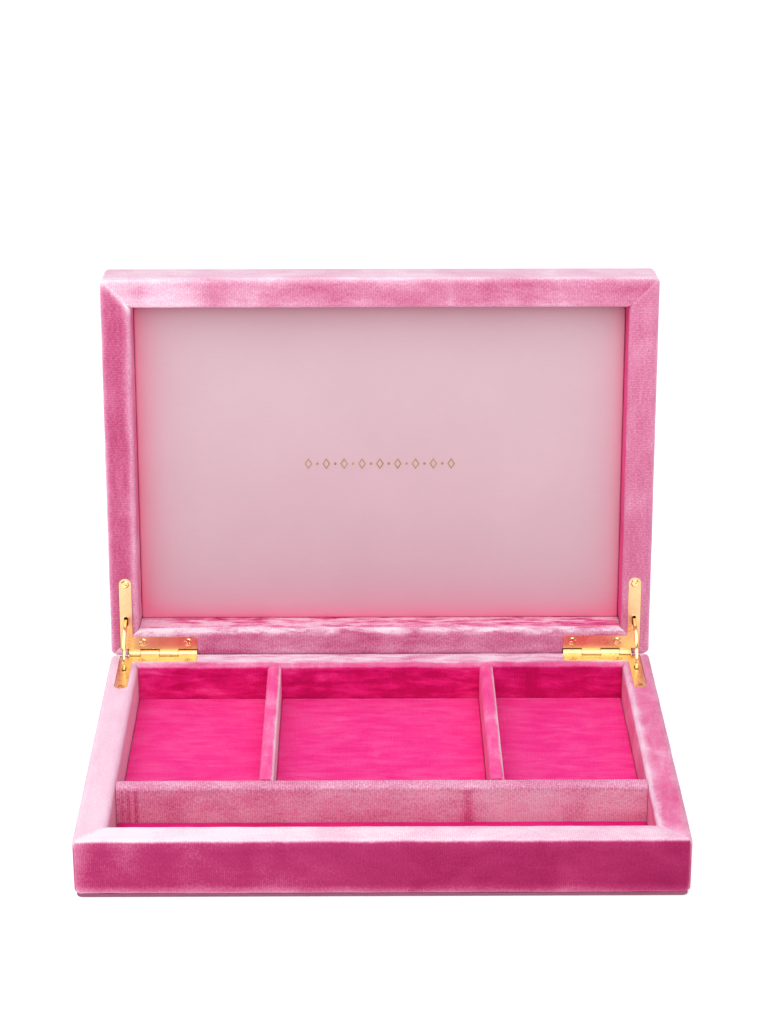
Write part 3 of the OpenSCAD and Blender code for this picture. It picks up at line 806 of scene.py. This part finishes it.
def boardSpots(width, depth, radius, skirt, layAndLightOf, step):
    def run(half):
        # places from the middle of the cloth to its edge: along the flat, round the edge, down the skirt
        flatCount = max(2, round((half - radius) / step))
        spots = [((half - radius) * i / flatCount, 0.0) for i in range(flatCount)]
        spots += [(half - radius, i / edgeRows) for i in range(edgeRows + 1)]
        skirtCount = max(1, round(skirt / step))
        spots += [(half - radius, 1 + (i + 1) / skirtCount) for i in range(skirtCount)]
        return spots

    runX = run(width / 2)
    runY = run(depth / 2)
    arc = radius * math.pi / 2

    def flatOf(base, edge):
        return base + min(edge, 1) * arc + max(edge - 1, 0) * skirt

    def spot(column, row):
        offsetX = column - (len(runX) - 1)
        offsetY = row - (len(runY) - 1)
        baseX, edgeX = runX[abs(offsetX)]
        baseY, edgeY = runY[abs(offsetY)]
        sideX = -1 if offsetX < 0 else 1
        sideY = -1 if offsetY < 0 else 1
        edge = max(edgeX, edgeY)
        down = math.radians(90) * min(edge, 1)
        bearing = math.atan2(edgeY, edgeX) if edge else 0
        place = Vector(
            (
                sideX * (baseX + radius * math.sin(down) * math.cos(bearing)),
                sideY * (baseY + radius * math.sin(down) * math.sin(bearing)),
                radius * (math.cos(down) - 1) - skirt * max(edge - 1, 0),
            )
        )
        flat = (sideX * flatOf(baseX, edgeX), sideY * flatOf(baseY, edgeY))
        # on the satin the second value is a painted shadow, not a deep colour
        layAndLight, deep = layAndLightOf(place, min(edge, 1))
        return place, flat, noSeam, layAndLight, (deep, 0), 1 - min(edge, 1)

    size = (2 * flatOf(width / 2 - radius, 2) / 1000, 2 * flatOf(depth / 2 - radius, 2) / 1000)
    return 2 * (len(runX) - 1), 2 * (len(runY) - 1), spot, size


# lays is how light the pile is on the flat and at the edge, from its brushing and, where noted, painted
# shade.
# glow gives how strong the painted reflection of the velvet on the satin is along each side and how far it
# reaches:
# left, right, front and hinge side. shade is the same for a painted shadow along the front, under the rim.
floorCloth = {"half": "base", "round": 0.9, "lays": (0.55, 0.50), "ripple": 0.16, "thick": 0.6, "mesh": 1.2}
stretchedCloths = {
    "lid_lining_satin": {
        "half": "lid", "round": 0.9, "ripple": 0.05, "thick": 0.7, "mesh": 1.6,
        "paintedReflection": [(0.80, 7), (0.50, 5), (0.50, 4), (1.10, 8)], "shade": (1.0, 5.6),
    },
    "lid_top_velvet": {
        "half": "lid", "round": 3.0, "lays": (0.50, 0.92), "ripple": 0.12, "thick": 0.9, "mesh": 1.6,
        "turned": True,
    },
    # painted shade: the front tray's floor is darker for the shadow it lies in
    "front_tray_velvet": {**floorCloth, "lays": (0.24, 0.24)},
    "left_floor_velvet": floorCloth,
    "centre_floor_velvet": floorCloth,
    "right_floor_velvet": floorCloth,
}
for number, (name, own) in enumerate(stretchedCloths.items()):
    low, high = boxIn(own["half"], name)
    middle = (low + high) / 2
    size = high - low

    def layAndLightOf(place, edge, own=own, half=size / 2):
        if "paintedReflection" in own:
            # painted reflection: the satin takes colour from the velvet round it, most of all by the hinges;
            # then a painted shadow along its front, under the rim
            gaps = (half.x + place.x, half.x - place.x, half.y - place.y, half.y + place.y)
            paintedReflection = sum(amount * math.exp(-gap / reach) for gap, (amount, reach) in zip(gaps, own["paintedReflection"]))
            amount, reach = own["shade"]
            return min(1.0, paintedReflection), amount * math.exp(-gaps[2] / reach)
        onFlat, onEdge = own["lays"]
        deep = 0.0 if own["half"] == "lid" else 1.0
        return onFlat + (onEdge - onFlat) * edge, deep

    skirt = max(size.z - own["round"], 0.01)
    columns, rows, spot, flat = boardSpots(size.x, size.y, own["round"], skirt, layAndLightOf, own["mesh"])
    ripple = {"size": 16.0, "height": own["ripple"], "seed": 140 + number * 5.7, "seamDip": 0.0}
    bm = layCloth(columns, rows, spot, ripple)
    if "turned" in own:
        place = placeOf[own["half"]] @ Matrix.Translation((middle.x, middle.y, low.z))
        place = place @ Matrix.Rotation(math.pi, 4, "X")
    else:
        place = placeOf[own["half"]] @ Matrix.Translation((middle.x, middle.y, high.z))
    if name == "lid_lining_satin":
        material = satinCloth
    elif name == "lid_top_velvet":
        material = velvet(name, velvetLook, 31, 0.30, 0.25, 0.28, velvetLook["sheen"])
    else:
        material = velvet(name, floorLook, 40 + number, 0.35, 0.65, 0.26, floorLook["sheen"])
    piece = addPiece(name + "_cloth", bm, place, material, own["half"], [name])
    giveThickness(piece, own["thick"])
print("boards covered")


# CAD nodes that keep their shape

finishes = {
    "bottom_cover": bottomPaper,
    "base_board": fibreboard,
    "lid_top_board": fibreboard,
    "lid_lining_board": greyboard,
    "lid_foil_ornament": goldFoil,
}
for name in frame["nodes"]:
    if name.endswith("_rail") or name.endswith("_core"):
        finishes[name] = fibreboard
    if name.endswith("_card"):
        finishes[name] = greyboard
for name, material in finishes.items():
    for materialSlot in frame["nodes"][name].material_slots:
        materialSlot.material = material
print("boards finished")


# Brass, the CAD shape with its sharp edges broken

brassEdges = {"merge": 0.000002, "flat": 0.5, "broken": 35, "sharp": 32}       # metres, then degrees
brassParts = {
    # name: body that it rides on and width of its broken edges in millimetres
    "left_base_leaf": ("base", 0.22),
    "right_base_leaf": ("base", 0.22),
    "left_hinge_pin": ("base", 0.15),
    "right_hinge_pin": ("base", 0.15),
    "base_hinge_screws": ("base", 0),
    "left_lid_leaf": ("lid", 0.22),
    "right_lid_leaf": ("lid", 0.22),
    "lid_hinge_screws": ("lid", 0),
    "left_stay": ("left_stay", 0.25),
    "right_stay": ("right_stay", 0.25),
}
for name, (bodyName, width) in brassParts.items():
    bm = bmesh.new()
    bm.from_mesh(frame["nodes"][name].data)
    bmesh.ops.remove_doubles(bm, verts=bm.verts, dist=brassEdges["merge"])
    flatAngle = math.radians(brassEdges["flat"])
    bmesh.ops.dissolve_limit(bm, angle_limit=flatAngle, verts=bm.verts, edges=bm.edges)
    if width:
        brokenFrom = math.radians(brassEdges["broken"])
        edges = [edge for edge in bm.edges if edge.is_manifold and edge.calc_face_angle() > brokenFrom]
        bmesh.ops.bevel(
            bm,
            geom=edges,
            offset=width / 1000,
            affect="EDGES",
            segments=2,
            profile=0.5,
            material=-1,
            clamp_overlap=True,
        )
    for face in bm.faces:
        face.smooth = True
    brass = leafBrass if name.endswith("leaf") else giltBrass
    piece = addPiece(name + "_brass", bm, Matrix.Identity(4), brass, bodyName, [name])
    piece.data.set_sharp_from_angle(angle=math.radians(brassEdges["sharp"]))
    evened = piece.modifiers.new("evened", "WEIGHTED_NORMAL")
    evened.keep_sharp = True
    applyModifiers(piece)
print("brass finished")


# Floor, light and camera

studio = {
    "floorSize": 40.0,
    "floorDrop": 0.0002,        # keeps the floor out of the bottom cover's own plane
    "floorGlow": 0.42,
    "world": [(0.0, 0.34), (0.45, 0.50), (1.0, 0.72)],      # grey of the surroundings, from front to back
    "lamps": [
        # name, place, size, power, aimed at
        ("above", (-0.30, -0.35, 1.65), 2.0, 22.0, (0, 0.05, 0.1)),
        ("front", (0.25, -2.2, 0.95), 1.3, 13.0, (0, 0.1, 0.12)),
        ("left", (-1.8, -0.3, 1.0), 1.0, 4.5, (0, 0.05, 0.1)),
    ],
}
floorMesh = bmesh.new()
bmesh.ops.create_grid(floorMesh, x_segments=8, y_segments=8, size=studio["floorSize"] / 2)
bmesh.ops.translate(floorMesh, vec=(0, 0, -studio["floorDrop"]), verts=floorMesh.verts)
mesh = bpy.data.meshes.new("floor")
floorMesh.to_mesh(mesh)
floorMesh.free()
floor = bpy.data.objects.new("floor", mesh)
bpy.context.scene.collection.objects.link(floor)
floorPaper, tree, body = newMaterial(
    "floorPaper",
    {"Specular IOR Level": 0.1, "Emission Color": (1, 1, 1, 1), "Emission Strength": studio["floorGlow"]},
)
place = addNode(tree, "ShaderNodeTexCoord").outputs["Object"]
tone = grain(tree, place, 0.3, 2.0, 0.5)
paperColour = rampOf(tree, tone, [(0.0, (0.90, 0.90, 0.90)), (1.0, (0.94, 0.94, 0.94))])
tree.links.new(paperColour, body.inputs["Base Color"])
tree.links.new(calc(tree, "MULTIPLY_ADD", tone, 0.1, 0.85), body.inputs["Roughness"])
mesh.materials.append(floorPaper)

world = bpy.data.worlds.new("studio")
world.use_nodes = True
tree = world.node_tree
outwards = addNode(tree, "ShaderNodeTexCoord").outputs["Generated"]
around = addNode(tree, "ShaderNodeSeparateXYZ", {0: outwards})
depth = calc(tree, "MULTIPLY_ADD", around.outputs[1], 0.5, 0.5)
greys = [(position, (grey, grey, grey)) for position, grey in studio["world"]]
tree.links.new(rampOf(tree, depth, greys), tree.nodes["Background"].inputs["Color"])
bpy.context.scene.world = world

for name, at, size, power, aim in studio["lamps"]:
    lamp = bpy.data.lights.new(name, "AREA")
    lamp.shape = "SQUARE"
    lamp.size = size
    lamp.energy = power
    stand = bpy.data.objects.new(name, lamp)
    stand.location = at
    stand.rotation_euler = (Vector(aim) - Vector(at)).to_track_quat("-Z", "Y").to_euler()
    bpy.context.scene.collection.objects.link(stand)

lens = {"focal": 91.33, "at": (-0.00648, -1.12778, 0.6036), "down": 21.99, "aside": -0.383}
cameraData = bpy.data.cameras.new("camera")
cameraData.sensor_width = 36
cameraData.lens = lens["focal"]
camera = bpy.data.objects.new("camera", cameraData)
camera.location = lens["at"]
camera.rotation_euler = (math.radians(90 - lens["down"]), 0, math.radians(lens["aside"]))
bpy.context.scene.collection.objects.link(camera)
bpy.context.scene.camera = camera
bpy.context.scene.view_settings.view_transform = "Standard"
print("stage set")
